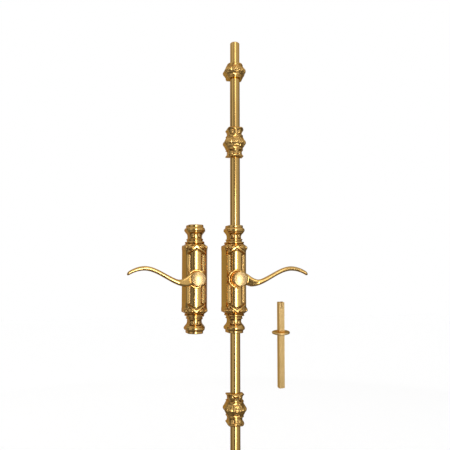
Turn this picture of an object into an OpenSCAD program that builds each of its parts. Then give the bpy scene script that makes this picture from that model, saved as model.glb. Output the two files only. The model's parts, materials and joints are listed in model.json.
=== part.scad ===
// Cremone bolt set in brass: a surface bolt for a pair of doors, worked by a waved lever.
// The lever turns a pinion between two racks, so one quarter turn draws both rods.
// A matching outside plate and a loose square spindle lie beside it, as the set is laid out.
// Frame: the door's face is the plane y = 0, the front looks along -Y, the rods run along Z,
// and the origin is on the lever's axis at the door's face. All sizes are in millimetres.

/* [Rods] */
// Diameter of the two round rods
rod_d = 16; // [14:0.5:20]
// Radial clearance of a rod in its guides and in the casing
rod_clear = 0.1; // [0.05:0.01:0.2]
// Metal left between a rod's bore and the base plate
rod_web = 1; // [0.6:0.1:3]
// Height of the upper rod's end above the lever's axis, with the bolts thrown
rod_top = 390; // [370:1:900]
// Depth of the lower rod's end below the lever's axis, with the bolts thrown
rod_bottom = 390; // [370:1:900]
// Length of the turned nose that enters the strike
nose_len = 34; // [20:1:60]
// Reduction of the nose's diameter
nose_step = 0.6; // [0.2:0.1:2]
// Chamfer on the end of the nose
nose_chamfer = 1.2; // [0.4:0.1:3]
// Diameter of the stud that joins a rod to its rack
stud_d = 8; // [5:0.5:9]
// Depth of the stud in the rod
stud_depth = 12; // [8:1:25]

/* [Drive] */
// Side of the square spindle
spindle_sq = 9; // [7:0.5:10]
// Clearance of the spindle in its socket, on each side
socket_clear = 0.1; // [0.05:0.05:0.3]
// Depth of the square socket
socket_depth = 36; // [25:1:42]
// Least wall of the drive sleeve, at the socket's corners
sleeve_wall = 1.3; // [1:0.1:2.5]
// Rim of the pinion between the sleeve and the roots of the teeth
pinion_rim = 1.42; // [1:0.01:3]
// Number of teeth on the pinion
pinion_teeth = 14; // [12:1:18]
// Width of the pinion and of the racks
gear_w = 8; // [6:0.5:10]
// Play between the teeth, along the pitch line
tooth_play = 0.35; // [0.2:0.05:0.6]
// Gap between the tips and the roots of the teeth
tip_gap = 0.3; // [0.2:0.05:0.5]
// Thickness of a rack behind its teeth
rack_back = 3; // [2:0.1:5]
// Turn of the lever, in degrees
lever_swing = 90; // [60:1:95]
// Length of the pinion's hub towards the base plate
pinion_hub = 2.3; // [1:0.1:5]
// Width of the key between the pinion and the sleeve
key_w = 3; // [2:0.1:4]
// Reach of the key into the sleeve, and into the pinion
key_reach = 1; // [0.6:0.1:1.2]
// Height of the rack's eye that takes the stud
eye_h = 10; // [6:0.5:16]
// Metal of the rack's eye round the stud
eye_wall = 3.5; // [2:0.1:3.8]
// Radial clearance of the turning sleeve in its bearings
turn_clear = 0.05; // [0.02:0.01:0.1]
// Clearance along the axis between turning and fixed faces
axial_clear = 0.2; // [0.1:0.05:0.5]
// Clearance round the pieces that slide in the casing
slide_clear = 0.5; // [0.4:0.1:1.5]

/* [Casing] */
// Wall of the casing
casing_wall = 2.4; // [1.8:0.1:5]
// Wall of the casing's necks round the rods
neck_wall = 2.2; // [1.5:0.1:5]
// Thickness of the base plate
plate_t = 3; // [2:0.1:5]
// Length by which the base plate laps over the casing's ends
plate_lap = 11.5; // [10:0.5:16]
// Gap round the base plate in its seat
plate_gap = 0.1; // [0.05:0.05:0.3]
// Height of the shoulder moulding above the hollow
shoulder_up = 8; // [6:0.5:14]
// Projection of the shoulder moulding past the body
shoulder_out = 2.6; // [1:0.1:4]
// Radius of the shoulder moulding
shoulder_round = 5.6; // [5:0.1:7]
// Height of the bead above the shoulder
bead_up = 7.9; // [7.6:0.1:12]
// Projection of the bead past the neck
bead_out = 4.9; // [2:0.05:6]
// Radius of the bead
bead_round = 1.6; // [1:0.1:2]
// Height of the thin ring above the bead
ring_up = 5; // [3.5:0.1:8]
// Projection of the thin ring past the neck
ring_out = 2.3; // [0.5:0.1:3]
// Radius of the thin ring
ring_round = 1.1; // [0.6:0.1:1.4]
// Height of the cap's moulding above the thin ring
cap_up = 15.2; // [13:0.1:30]
// Projection of the cap's moulding past the neck
cap_out = 5.9; // [4:0.1:8]
// Radius of the cap's moulding
cap_round = 3.8; // [2:0.1:4]
// Radius of the hollow under the cap's moulding
cap_cove = 6.5; // [5:0.1:9]
// Height of the casing's end above the cap's moulding
end_up = 7.9; // [5:0.1:14]
// Projection of the casing's end past the neck
end_out = 3; // [1.2:0.1:4]
// Rounding of the casing's end
end_round = 1.2; // [0.5:0.1:2]
// Angle of the wide flutes beside the front panel
flute_angle = 32; // [25:1:36]
// Radius of the wide flutes
flute_r = 1.4; // [0.6:0.1:1.5]
// Angle of the narrow flutes outside them
reed_angle = 61; // [50:1:66]
// Radius of the narrow flutes
reed_r = 0.7; // [0.4:0.1:1]
// Half width of the pointed leaf collar on the front
leaf_w = 13.2; // [10:0.1:15]
// Fall of the leaf collar from its point to its ends
leaf_fall = 10; // [6:0.1:14]
// Height of the leaf collar's band
leaf_band = 4.6; // [3:0.1:7]
// Height of the leaf collar's relief
leaf_rise = 1; // [0.5:0.1:2]
// Radius of the pearls on the shoulders
pearl_r = 2.2; // [1:0.1:3]
// Angle of the pearls from the front
pearl_angle = 52; // [40:1:65]

/* [Boss] */
// Rise of the round boss in front of the casing
boss_rise = 4.2; // [2:0.1:8]
// Width of the boss's rim round the bush
boss_rim = 4.75; // [3:0.05:5.2]
// Rounding of the boss's rim
boss_round = 2; // [0.5:0.1:2.4]
// Wall of the hub bush
bush_wall = 2.45; // [1.5:0.05:4]
// Length of the hub bush
bush_len = 8.5; // [6:0.1:10]
// Depth of the bush below the boss's rim
bush_recess = 2; // [0.5:0.1:3]
// Thickness of the thrust washer
washer_t = 1; // [0.5:0.1:2]
// Thickness of a retaining ring
clip_t = 1.2; // [0.8:0.1:1.6]
// Depth of a retaining ring's groove
clip_groove = 0.6; // [0.3:0.05:0.8]
// Width of a retaining ring, from its inside to its outside
clip_w = 2.4; // [1.5:0.1:2.6]

/* [Lever] */
// Length of the bare sleeve between the boss and the lever's head
lever_neck = 4; // [2:0.1:20]
// Diameter of the lever's head
head_d = 23; // [20:0.5:28]
// Length of the straight part of the head
head_len = 22; // [14:0.1:30]
// Height of the head's dome
head_dome = 3; // [2:0.1:9]
// Depth of the sleeve in the head
head_bore = 16; // [8:0.1:18]
// Reach of the lever from its axis to its tip
lever_len = 106; // [85:1:140]
// Distance from the axis to the arm's lowest place
dip_at = 18; // [15:0.5:25]
// Drop of the arm there
dip = 7.3; // [0:0.1:14]
// Distance from the axis to the arm's crest
crest_at = 80; // [55:1:82]
// Rise of the arm at its crest
crest = 16; // [5:0.1:25]
// Fall of the arm from its crest to its tip
tip_fall = 9; // [0:0.1:16]
// Height of the arm behind the head
arm_tall = 8.6; // [6:0.1:12]
// Height of the arm at its tip
tip_tall = 6; // [4:0.1:9]
// Depth of the arm behind the head
arm_deep = 11; // [8:0.1:12]
// Depth of the arm at its tip
tip_deep = 9; // [6:0.1:12]
// Length of the rounded tip
tip_round = 4.5; // [2:0.1:8]
// Diameter of the grub screw in the head
grub_d = 5; // [3:0.5:5]
// Depth of the grub screw's point in the sleeve
grub_bite = 0.6; // [0.3:0.05:0.8]
// Depth of the grub screw below the head's round side
grub_sink = 0.3; // [0:0.1:0.8]
// Depth of the hexagon socket in the grub screw
grub_socket = 1.7; // [1:0.1:2]

/* [Guides] */
// Distance of the top guide below the upper rod's end
top_guide_drop = 49; // [46:1:90]
// Height of the upper guide above the lever's axis
upper_guide_z = 221; // [140:1:280]
// Depth of the lower guide below the lever's axis
lower_guide_z = 203; // [140:1:280]
// Distance of the bottom guide above the lower rod's end
bottom_guide_rise = 49; // [46:1:90]
// Wall of a guide's neck round the rod
guide_wall = 3.15; // [2:0.05:6]
// Projection of the knop past the neck
knop_out = 6.75; // [6:0.05:12]
// Half height of the knop
knop_half = 10.6; // [8:0.1:16]
// Rounding of the knop's edge
knop_round = 3.6; // [3:0.1:5]
// Share of that rounding below the knop's slope
knop_belt = 0.85; // [0.6:0.05:1]
// Radius of the thin rings beside the knop
astragal_r = 0.9; // [0.5:0.1:1.3]
// Projection of the thin rings past the neck
astragal_out = 2.2; // [1:0.1:4]
// Height of the straight neck between a thin ring and the flare
guide_neck = 2.9; // [1:0.1:8]
// Height of the hollow flare at each end of a guide
flare_h = 7.6; // [5:0.1:16]
// Projection of the flare past the neck
flare_out = 2.55; // [1:0.05:5]
// Height of the flare's rim
flare_rim = 1.7; // [1:0.05:4]
// Half height of the knop on the top and bottom guides
short_knop = 8.8; // [7:0.1:14]
// Height of the short collars on the top and bottom guides
short_collar = 1.9; // [1:0.1:5]

/* [Fixings] */
// Diameter of the tapped holes for the fixing bolts
bolt_hole_d = 4.2; // [3:0.1:4.6]
// Depth of the tapped holes
bolt_hole_depth = 9; // [6:0.5:11]
// Metal between a rod's bore and a tapped hole
bolt_wall = 1.8; // [1.2:0.1:3]
// Diameter of the base plate's screws
plate_screw_d = 3; // [2:0.5:3.5]
// Length of the base plate's screws
plate_screw_len = 10; // [7:0.5:14]
// Depth of their countersunk heads
plate_screw_head = 1.6; // [1:0.1:1.8]
// Width of the slot in their heads
plate_screw_slot = 0.6; // [0.4:0.1:1]

/* [Set] */
// Distance of the outside plate to the left of the main bolt
outside_x = 64; // [60:1:200]
// Distance of the loose spindle's collar to the right of the main bolt
spindle_x = 74; // [60:0.5:200]
// Depth of the loose spindle's collar below the lever's axis
spindle_z = 86; // [70:0.5:200]
// Lean of the loose spindle, in degrees
spindle_lean = 1.4; // [0:0.1:10]
// Turn of the loose spindle about its own length, in degrees
spindle_roll = 8; // [0:1:45]
// Length of the spindle above its collar
spindle_short = 49; // [30:1:80]
// Length of the spindle below its collar
spindle_long = 89; // [60:1:140]
// Diameter of the spindle's collar
collar_d = 29; // [24:0.5:40]
// Thickness of the spindle's collar
collar_t = 3.6; // [2:0.1:8]
// Width of the saw cut in the spindle's short end
slit_w = 1.2; // [0.6:0.1:2]
// Depth of the saw cut
slit_depth = 9; // [4:0.5:20]

/* [Hidden] */
$fn = 96;
// Overrun of a cut past the face that it opens
over = 1;
brass = "goldenrod";
steel = "silver";

// Rods and their place
rod_bore_r = rod_d / 2 + rod_clear;
rod_axis = plate_t + rod_web + rod_bore_r;

// Sleeve, pinion and racks. The rack's tips are short, which keeps the small pinion strong.
pressure_angle = 20;
rack_tip_share = 0.65;
// Length of a rack past the pinion's axis, in teeth
rack_tail = 2.5;
socket_sq = spindle_sq + 2 * socket_clear;
sleeve_r = socket_sq / sqrt(2) + sleeve_wall;
pitch_r = (sleeve_r + pinion_rim + tip_gap) / (1 - 2 * rack_tip_share / pinion_teeth);
gear_module = 2 * pitch_r / pinion_teeth;
tooth_pitch = PI * gear_module;
rack_tip = rack_tip_share * gear_module;
pinion_root_r = pitch_r - rack_tip - tip_gap;
pinion_tip_r = pitch_r + gear_module;
base_r = pitch_r * cos(pressure_angle);
rack_root_x = pinion_tip_r + tip_gap;
rack_out_x = rack_root_x + rack_back;
gear_back = plate_t + axial_clear + pinion_hub;
gear_front = gear_back + gear_w;
travel = pitch_r * lever_swing * PI / 180;
eye_r = stud_d / 2 + eye_wall;
end_clear = 3 * slide_clear;
eye_near = pinion_tip_r + travel + end_clear;
eye_far = eye_near + eye_h;

// Casing
cav_r = norm([rack_out_x, max(0, gear_front - rod_axis)]) + slide_clear;
cav_half = eye_far + end_clear;
body_r = cav_r + casing_wall;
shoulder_r = body_r + shoulder_out;
neck_r = rod_bore_r + neck_wall;
shoulder_z = cav_half + shoulder_up;
bead_z = shoulder_z + bead_up;
ring_z = bead_z + ring_up;
cap_z = ring_z + cap_up;
cove_z = cap_z - cap_round - cap_cove;
casing_half = cap_z + end_up;
plate_half = cav_half + plate_lap;
body_front = rod_axis + body_r;

// Boss, bush, rings and lever, measured forward from the door
boss_front = body_front + boss_rise;
bush_r = sleeve_r + bush_wall;
boss_r = bush_r + boss_rim;
bush_front = boss_front - bush_recess;
bush_back = bush_front - bush_len;
washer_back = bush_back - washer_t;
front_clip = washer_back - axial_clear;
head_back = boss_front + lever_neck;
sleeve_front = head_back + head_bore;
grub_at = head_back + head_bore / 2;
arm_at = head_back + head_len - arm_deep / 3;

// Guides
top_guide_z = rod_top - top_guide_drop;
bottom_guide_z = rod_bottom - bottom_guide_rise;
guide_neck_r = rod_bore_r + guide_wall;
knop_r = guide_neck_r + knop_out;
flare_base = knop_half + 2 * astragal_r + guide_neck;
flare_radius = (pow(flare_h, 2) + pow(flare_out, 2)) / (2 * flare_out);
guide_half = flare_base + flare_h + flare_rim;
short_half = short_knop + 2 * astragal_r + short_collar;

// Fixings
bolt_x = rod_bore_r + bolt_wall + bolt_hole_d / 2;
plate_screw_x = rod_bore_r + bolt_wall + plate_screw_d / 2;
plate_screw_z = cav_half + plate_lap / 2;

// The loose spindle rests on its collar's round rim and on its long end
collar_rim_r = (collar_d - collar_t) / 2;
spindle_corner = spindle_sq / 2 * (cos(spindle_roll) + sin(spindle_roll));
spindle_drop = collar_rim_r - spindle_corner;
spindle_tilt = atan2(spindle_drop, spindle_long) + asin(collar_t / 2 / norm([spindle_long, spindle_drop]));
spindle_y = collar_rim_r * cos(spindle_tilt) + collar_t / 2;

function smooth(t) = t * t * (3 - 2 * t);
function mix(a, b, t) = a + (b - a) * t;

// A bar along the lever's axis, from one distance in front of the door to another
module bar(from, to, r) {
    translate([0, -from, 0]) rotate([90, 0, 0]) cylinder(r = r, h = to - from);
}

// A moulding with straight sides at the door and a half-round front about the rod's axis.
// Its child is the outline beside the axis, with heights along Y.
module half_round() {
    rotate([90, 0, 0]) linear_extrude(rod_axis) {
        children();
        mirror([1, 0]) children();
    }
    translate([0, -rod_axis, 0]) rotate([0, 0, 180]) rotate_extrude(angle = 180) children();
}

module both_ends() {
    children();
    mirror([0, 0, 1]) children();
}

module four_corners(x, z) {
    for (sx = [-1, 1], sz = [-1, 1]) translate([sx * x, 0, sz * z]) children();
}

// Outline of one end of the casing, from the middle of the body to the cap
module casing_outline() {
    square([body_r, shoulder_z]);
    translate([shoulder_r - shoulder_round, shoulder_z]) circle(shoulder_round);
    translate([0, shoulder_z - shoulder_round]) square([shoulder_r - shoulder_round, 2 * shoulder_round]);
    translate([0, shoulder_z]) square([neck_r + bead_out - bead_round, bead_up + bead_round]);
    translate([neck_r + bead_out - bead_round, bead_z]) circle(bead_round);
    translate([neck_r + ring_out - ring_round, ring_z]) circle(ring_round);
    translate([0, bead_z]) square([neck_r + ring_out - ring_round, ring_up + ring_round]);
    translate([0, bead_z]) square([neck_r, cap_z - bead_z]);
    difference() {
        translate([0, cove_z]) square([neck_r + cap_out - cap_round / 2, cap_cove + cap_round / 2]);
        translate([neck_r + cap_cove, cove_z]) circle(cap_cove);
    }
    translate([neck_r + cap_out - cap_round, cap_z]) circle(cap_round);
    translate([0, cap_z - cap_round]) square([neck_r + cap_out - cap_round, 2 * cap_round]);
    translate([0, cap_z]) square([neck_r + end_out, end_up - end_round]);
    translate([neck_r + end_out - end_round, casing_half - end_round]) circle(end_round);
    translate([0, cap_z]) square([neck_r + end_out - end_round, end_up]);
}

// The pointed collar of leaves at one end of the front panel
module leaf_collar() {
    intersection() {
        translate([0, -rod_axis, shoulder_z - leaf_fall - leaf_band])
            cylinder(r = body_r + leaf_rise, h = leaf_fall + leaf_band);
        rotate([90, 0, 0]) linear_extrude(body_front + leaf_rise) polygon([
            [0, shoulder_z],
            [leaf_w, shoulder_z - leaf_fall],
            [leaf_w, shoulder_z - leaf_fall - leaf_band],
            [0, shoulder_z - leaf_band],
            [-leaf_w, shoulder_z - leaf_fall - leaf_band],
            [-leaf_w, shoulder_z - leaf_fall]]);
    }
}

// The sides of the body slope out to the width of the shoulder at the door
module flanks() {
    front_x = body_r - shoulder_out / 2;
    translate([0, 0, -shoulder_z]) linear_extrude(2 * shoulder_z) polygon([
        [-shoulder_r, 0], [-front_x, -rod_axis], [front_x, -rod_axis], [shoulder_r, 0]]);
}

module flute(angle, r) {
    translate([body_r * sin(angle), -rod_axis - body_r * cos(angle), -cav_half])
        cylinder(r = r, h = 2 * cav_half);
}

// The boss round the bush, with a rounded rim
module boss() {
    translate([0, -rod_axis, 0]) rotate([90, 0, 0]) rotate_extrude() {
        square([boss_r, boss_front - rod_axis - boss_round]);
        square([boss_r - boss_round, boss_front - rod_axis]);
        translate([boss_r - boss_round, boss_front - rod_axis - boss_round]) circle(boss_round);
    }
}

// A casing is a hollow shell, open at the back, with rod bores only on the main bolt
module casing(with_rods) {
    difference() {
        union() {
            difference() {
                union() {
                    half_round() casing_outline();
                    mirror([0, 0, 1]) half_round() casing_outline();
                    flanks();
                }
                for (side = [-1, 1]) {
                    flute(side * flute_angle, flute_r);
                    flute(side * reed_angle, reed_r);
                }
            }
            boss();
            both_ends() leaf_collar();
            four_corners(shoulder_r * sin(pearl_angle), shoulder_z)
                translate([0, -rod_axis - shoulder_r * cos(pearl_angle), 0]) sphere(pearl_r);
        }
        translate([-cav_r, -rod_axis, -cav_half]) cube([2 * cav_r, rod_axis + over, 2 * cav_half]);
        translate([0, -rod_axis, -cav_half]) cylinder(r = cav_r, h = 2 * cav_half);
        translate([-cav_r, -plate_t, -plate_half]) cube([2 * cav_r, plate_t + over, 2 * plate_half]);
        bar(rod_axis, boss_front + over, bush_r);
        four_corners(bolt_x, cap_z) bar(-over, bolt_hole_depth, bolt_hole_d / 2);
        four_corners(plate_screw_x, plate_screw_z) bar(0, plate_screw_len, plate_screw_d / 2);
        if (with_rods)
            translate([0, -rod_axis, -casing_half - over])
                cylinder(r = rod_bore_r, h = 2 * (casing_half + over));
    }
}

module plate_screw_shape() {
    bar(0, plate_screw_len, plate_screw_d / 2);
    rotate([90, 0, 0])
        cylinder(r1 = plate_screw_d / 2 + plate_screw_head, r2 = plate_screw_d / 2, h = plate_screw_head);
}

module plate() {
    difference() {
        translate([-cav_r + plate_gap, -plate_t, -plate_half + plate_gap])
            cube([2 * (cav_r - plate_gap), plate_t, 2 * (plate_half - plate_gap)]);
        bar(-over, plate_t + over, sleeve_r + turn_clear);
        four_corners(plate_screw_x, plate_screw_z) plate_screw_shape();
    }
}

module plate_screws() {
    four_corners(plate_screw_x, plate_screw_z) difference() {
        plate_screw_shape();
        translate([-plate_screw_d - over, -plate_screw_head / 2, -plate_screw_slot / 2])
            cube([2 * (plate_screw_d + over), plate_screw_head, plate_screw_slot]);
    }
}

module bush() {
    difference() {
        bar(bush_back, bush_front, bush_r);
        bar(bush_back - over, bush_front + over, sleeve_r + turn_clear);
    }
}

module washer() {
    difference() {
        bar(washer_back, bush_back, bush_r - turn_clear);
        bar(washer_back - over, bush_back + over, sleeve_r + axial_clear);
    }
}

// A split ring in a groove of the sleeve, given by its front face
module clip(front) {
    groove_r = sleeve_r - clip_groove;
    difference() {
        bar(front - clip_t, front, groove_r + clip_w);
        bar(front - clip_t - over, front + over, groove_r);
        translate([-clip_w / 2, -front - over, -groove_r - clip_w - over])
            cube([clip_w, clip_t + 2 * over, groove_r + clip_w]);
    }
}

// The lever's shaft, with the spindle's square socket and grooves for two rings
module sleeve(rear_clip) {
    difference() {
        bar(0, sleeve_front, sleeve_r);
        translate([-socket_sq / 2, -socket_depth, -socket_sq / 2])
            cube([socket_sq, socket_depth + over, socket_sq]);
        for (front = [front_clip, rear_clip]) difference() {
            bar(front - clip_t, front, sleeve_r + over);
            bar(front - clip_t, front, sleeve_r - clip_groove);
        }
        grub(0);
    }
}

// The grub screw stands in the underside of the lever's head, and bites into the sleeve
module grub(past) {
    translate([0, -grub_at, -head_d / 2 - past])
        cylinder(d = grub_d, h = head_d / 2 + past - sleeve_r + grub_bite);
}

module grub_screw() {
    difference() {
        grub(-grub_sink);
        translate([0, -grub_at, -head_d / 2 + grub_sink - over])
            cylinder(d = grub_d / 2, h = grub_socket + over, $fn = 6);
    }
}

// The arm's rings stand square to X. Each is a rounded oval whose size and height follow the wave.
function arm_z(x) =
    x < dip_at ? -dip * smooth(x / dip_at)
    : x < crest_at ? mix(-dip, crest, smooth((x - dip_at) / (crest_at - dip_at)))
    : crest - tip_fall * pow((x - crest_at) / (lever_len - crest_at), 2);
function arm_size(x, head, root, tip) =
    x < dip_at ? mix(head, root, smooth(x / dip_at)) : mix(root, tip, (x - dip_at) / (lever_len - dip_at));
function arm_end(x) = x < lever_len - tip_round ? 1
    : sqrt(max(arm_blunt, 1 - pow((x - lever_len + tip_round) / tip_round, 2)));
function rounded(v) = sign(v) * pow(abs(v), arm_oval);

arm_sides = 16;
arm_rings = 28;
tip_rings = 4;
// Square of the tip's flat end against the arm's height
arm_blunt = 0.06;
// Power that squares the arm's oval a little
arm_oval = 0.8;
// Keeps the arm's root inside the round head
arm_inset = 0.6;
arm_steps = concat([for (i = [0 : arm_rings]) i / arm_rings * (lever_len - tip_round)],
    [for (i = [1 : tip_rings]) lever_len - tip_round * (1 - sin(90 * i / tip_rings))]);
arm_points = [for (x = arm_steps) for (i = [0 : arm_sides - 1]) let (a = 360 * i / arm_sides) [
    x,
    -arm_at + arm_end(x) * arm_size(x, arm_deep, arm_deep, tip_deep) / 2 * rounded(cos(a)),
    arm_z(x) + arm_end(x) * arm_size(x, head_d - arm_inset, arm_tall, tip_tall) / 2 * rounded(sin(a))]];
arm_faces = concat(
    [[for (i = [0 : arm_sides - 1]) i]],
    [for (s = [0 : len(arm_steps) - 2]) for (i = [0 : arm_sides - 1]) let (j = (i + 1) % arm_sides)
        each [[s * arm_sides + i, (s + 1) * arm_sides + i, s * arm_sides + j],
            [s * arm_sides + j, (s + 1) * arm_sides + i, (s + 1) * arm_sides + j]]],
    [[for (i = [arm_sides - 1 : -1 : 0]) (len(arm_steps) - 1) * arm_sides + i]]);

// The lever's head is domed, and its arm dips, rises to a crest and falls to a rounded tip
module lever_shape() {
    dome_r = (pow(head_d / 2, 2) + pow(head_dome, 2)) / (2 * head_dome);
    difference() {
        union() {
            translate([0, -head_back, 0]) rotate([90, 0, 0]) rotate_extrude() {
                square([head_d / 2, head_len]);
                intersection() {
                    translate([0, head_len + head_dome - dome_r]) circle(dome_r);
                    square([head_d / 2, head_len + head_dome]);
                }
            }
            polyhedron(arm_points, arm_faces);
        }
        bar(head_back - over, sleeve_front, sleeve_r);
        grub(head_d);
    }
}

// Pinion teeth are involutes, from the root circle to the tip circle
function involute(r) = let (a = acos(min(1, base_r / r))) tan(a) * 180 / PI - a;
half_tooth = 90 / pinion_teeth - tooth_play / 4 / pitch_r * 180 / PI + involute(pitch_r);
flank_steps = 5;
flank_r = [for (i = [0 : flank_steps]) mix(max(base_r, pinion_root_r), pinion_tip_r, i / flank_steps)];
function polar(r, a) = [r * cos(a), r * sin(a)];

module pinion_outline() {
    polygon([for (t = [0 : pinion_teeth - 1]) let (mid = (t + 0.5) * 360 / pinion_teeth) each concat(
        [polar(pinion_root_r, mid - half_tooth)],
        [for (r = flank_r) polar(r, mid - half_tooth + involute(r))],
        [for (i = [flank_steps : -1 : 0]) polar(flank_r[i], mid + half_tooth - involute(flank_r[i]))],
        [polar(pinion_root_r, mid + half_tooth)])]);
}

module key() {
    translate([-key_w / 2, -gear_front, sleeve_r - key_reach]) cube([key_w, gear_w, 2 * key_reach]);
}

// The rack on the right of the pinion, with its eye under the upper rod.
// shift moves its teeth to suit the side of the pinion that it meets.
module rack(shift) {
    half = tooth_pitch / 4 - tooth_play / 4;
    slope = tan(pressure_angle);
    low = -rack_tail * tooth_pitch;
    first = low + tooth_pitch / 2 + shift;
    difference() {
        union() {
            translate([0, -gear_back, 0]) rotate([90, 0, 0]) linear_extrude(gear_w) {
                translate([rack_root_x, low]) square([rack_back, eye_far - low]);
                for (z = [first : tooth_pitch : eye_near - tooth_pitch / 2]) polygon([
                    [pitch_r - rack_tip, z - half + rack_tip * slope],
                    [pitch_r - rack_tip, z + half - rack_tip * slope],
                    [rack_root_x, z + half + (rack_root_x - pitch_r) * slope],
                    [rack_root_x + rack_back / 2, z],
                    [rack_root_x, z - half - (rack_root_x - pitch_r) * slope]]);
                translate([0, eye_near]) square([rack_root_x + rack_back / 2, eye_h]);
            }
            translate([0, -rod_axis, eye_near]) cylinder(r = eye_r, h = eye_h);
        }
        translate([0, -rod_axis, eye_near - over]) cylinder(d = stud_d, h = eye_h + 2 * over);
    }
}

module stud() {
    translate([0, -rod_axis, eye_near]) cylinder(d = stud_d, h = eye_h + stud_depth);
}

// A rod from its stud to its chamfered nose
module rod(end) {
    r = rod_d / 2;
    nose_r = r - nose_step / 2;
    difference() {
        translate([0, -rod_axis, 0]) rotate_extrude() polygon([
            [0, eye_far], [r, eye_far], [r, end - nose_len], [nose_r, end - nose_len],
            [nose_r, end - nose_chamfer], [nose_r - nose_chamfer, end], [0, end]]);
        translate([0, -rod_axis, eye_far - over]) cylinder(d = stud_d, h = stud_depth + over);
    }
}

module below() {
    rotate([0, 180, 0]) children();
}

// Outline of the upper half of a guide's knop, with a thin ring on top
module knop_outline(half) {
    polygon([[0, 0], [knop_r - knop_round / 2, 0], [knop_r - knop_round / 2, knop_round * knop_belt],
        [guide_neck_r + astragal_out - astragal_r, half], [0, half]]);
    intersection() {
        translate([knop_r - knop_round, 0]) circle(knop_round);
        square([knop_r, knop_round]);
    }
    translate([guide_neck_r + astragal_out - astragal_r, half + astragal_r]) circle(astragal_r);
    translate([0, half]) square([guide_neck_r + astragal_out - astragal_r, 2 * astragal_r]);
}

module flared_end_outline() {
    knop_outline(knop_half);
    difference() {
        square([guide_neck_r + flare_out, guide_half]);
        translate([guide_neck_r + flare_radius, flare_base]) circle(flare_radius);
        translate([guide_neck_r, 0]) square([flare_out + over, flare_base]);
    }
}

module short_end_outline() {
    knop_outline(short_knop);
    square([guide_neck_r + astragal_out - astragal_r, short_half]);
}

// A guide stands on the door and holds a rod. Its child is the outline of its upper half.
module guide(z, half) {
    translate([0, 0, z]) difference() {
        union() {
            half_round() children();
            mirror([0, 0, 1]) half_round() children();
        }
        translate([0, -rod_axis, -half - over]) cylinder(r = rod_bore_r, h = 2 * (half + over));
        for (side = [-1, 1]) translate([side * bolt_x, 0, 0]) bar(-over, bolt_hole_depth, bolt_hole_d / 2);
    }
}

module outside() {
    translate([-outside_x, 0, 0]) mirror([1, 0, 0]) children();
}

module laid_spindle() {
    translate([spindle_x, -spindle_y, -spindle_z]) rotate([0, -spindle_lean, 0])
        rotate([spindle_tilt, 0, 0]) rotate([0, 0, spindle_roll]) children();
}

main_rear_clip = gear_front + clip_t;
outside_rear_clip = plate_t + axial_clear + clip_t;
left_rack_shift = pinion_teeth % 2 * tooth_pitch / 2;

module casing_cover() { color(brass) casing(true); }
module base_plate() { color(brass) plate(); }
module base_plate_screws() { color(steel) plate_screws(); }
module hub_bush() { color(brass) bush(); }
module thrust_washer() { color(steel) washer(); }
module retaining_rings() {
    color(steel) {
        clip(front_clip);
        clip(main_rear_clip);
    }
}
module drive_sleeve() {
    color(brass) difference() {
        sleeve(main_rear_clip);
        key();
    }
}
module pinion() {
    color(steel) difference() {
        union() {
            translate([0, -gear_back, 0]) rotate([90, 0, 0]) linear_extrude(gear_w) pinion_outline();
            bar(plate_t + axial_clear, gear_back, pinion_root_r);
        }
        bar(0, gear_front + over, sleeve_r);
        key();
    }
}
module pinion_key() { color(steel) key(); }
module lever() { color(brass) lever_shape(); }
module lever_grub_screw() { color(steel) grub_screw(); }
module upper_rack() { color(steel) rack(0); }
module lower_rack() { color(steel) below() rack(left_rack_shift); }
module upper_rod_stud() { color(steel) stud(); }
module lower_rod_stud() { color(steel) below() stud(); }
module upper_rod() { color(brass) rod(rod_top); }
module lower_rod() { color(brass) below() rod(rod_bottom); }
module top_guide() { color(brass) guide(top_guide_z, short_half) short_end_outline(); }
module upper_guide() { color(brass) guide(upper_guide_z, guide_half) flared_end_outline(); }
module lower_guide() { color(brass) guide(-lower_guide_z, guide_half) flared_end_outline(); }
module bottom_guide() { color(brass) guide(-bottom_guide_z, short_half) short_end_outline(); }
module outside_cover() { color(brass) outside() casing(false); }
module outside_base_plate() { color(brass) outside() plate(); }
module outside_plate_screws() { color(steel) outside() plate_screws(); }
module outside_hub_bush() { color(brass) outside() bush(); }
module outside_thrust_washer() { color(steel) outside() washer(); }
module outside_retaining_rings() {
    color(steel) outside() {
        clip(front_clip);
        clip(outside_rear_clip);
    }
}
module outside_drive_sleeve() { color(brass) outside() sleeve(outside_rear_clip); }
module outside_lever() { color(brass) outside() lever_shape(); }
module outside_grub_screw() { color(steel) outside() grub_screw(); }
module spindle() {
    color(brass) laid_spindle() difference() {
        translate([-spindle_sq / 2, -spindle_sq / 2, -spindle_long])
            cube([spindle_sq, spindle_sq, spindle_long + spindle_short]);
        translate([-slit_w / 2, -spindle_sq, spindle_short - slit_depth])
            cube([slit_w, 2 * spindle_sq, slit_depth + over]);
    }
}
module spindle_collar() {
    color(brass) laid_spindle() difference() {
        rotate_extrude() {
            translate([0, -collar_t / 2]) square([collar_rim_r, collar_t]);
            translate([collar_rim_r, 0]) circle(collar_t / 2);
        }
        translate([-spindle_sq / 2, -spindle_sq / 2, -collar_t])
            cube([spindle_sq, spindle_sq, 2 * collar_t]);
    }
}

casing_cover();
base_plate();
base_plate_screws();
hub_bush();
thrust_washer();
retaining_rings();
drive_sleeve();
pinion();
pinion_key();
lever();
lever_grub_screw();
upper_rack();
lower_rack();
upper_rod_stud();
lower_rod_stud();
upper_rod();
lower_rod();
top_guide();
upper_guide();
lower_guide();
bottom_guide();
outside_cover();
outside_base_plate();
outside_plate_screws();
outside_hub_bush();
outside_thrust_washer();
outside_retaining_rings();
outside_drive_sleeve();
outside_lever();
outside_grub_screw();
spindle();
spindle_collar();
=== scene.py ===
# Cremone bolt set in lacquered brass: the bolt for the inside of a pair of doors, the plate and
# lever for the outside, and the loose spindle that joins the two through the door.
import json
import math

import bmesh
import bpy
import numpy as np
from mathutils import Matrix, Vector


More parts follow.
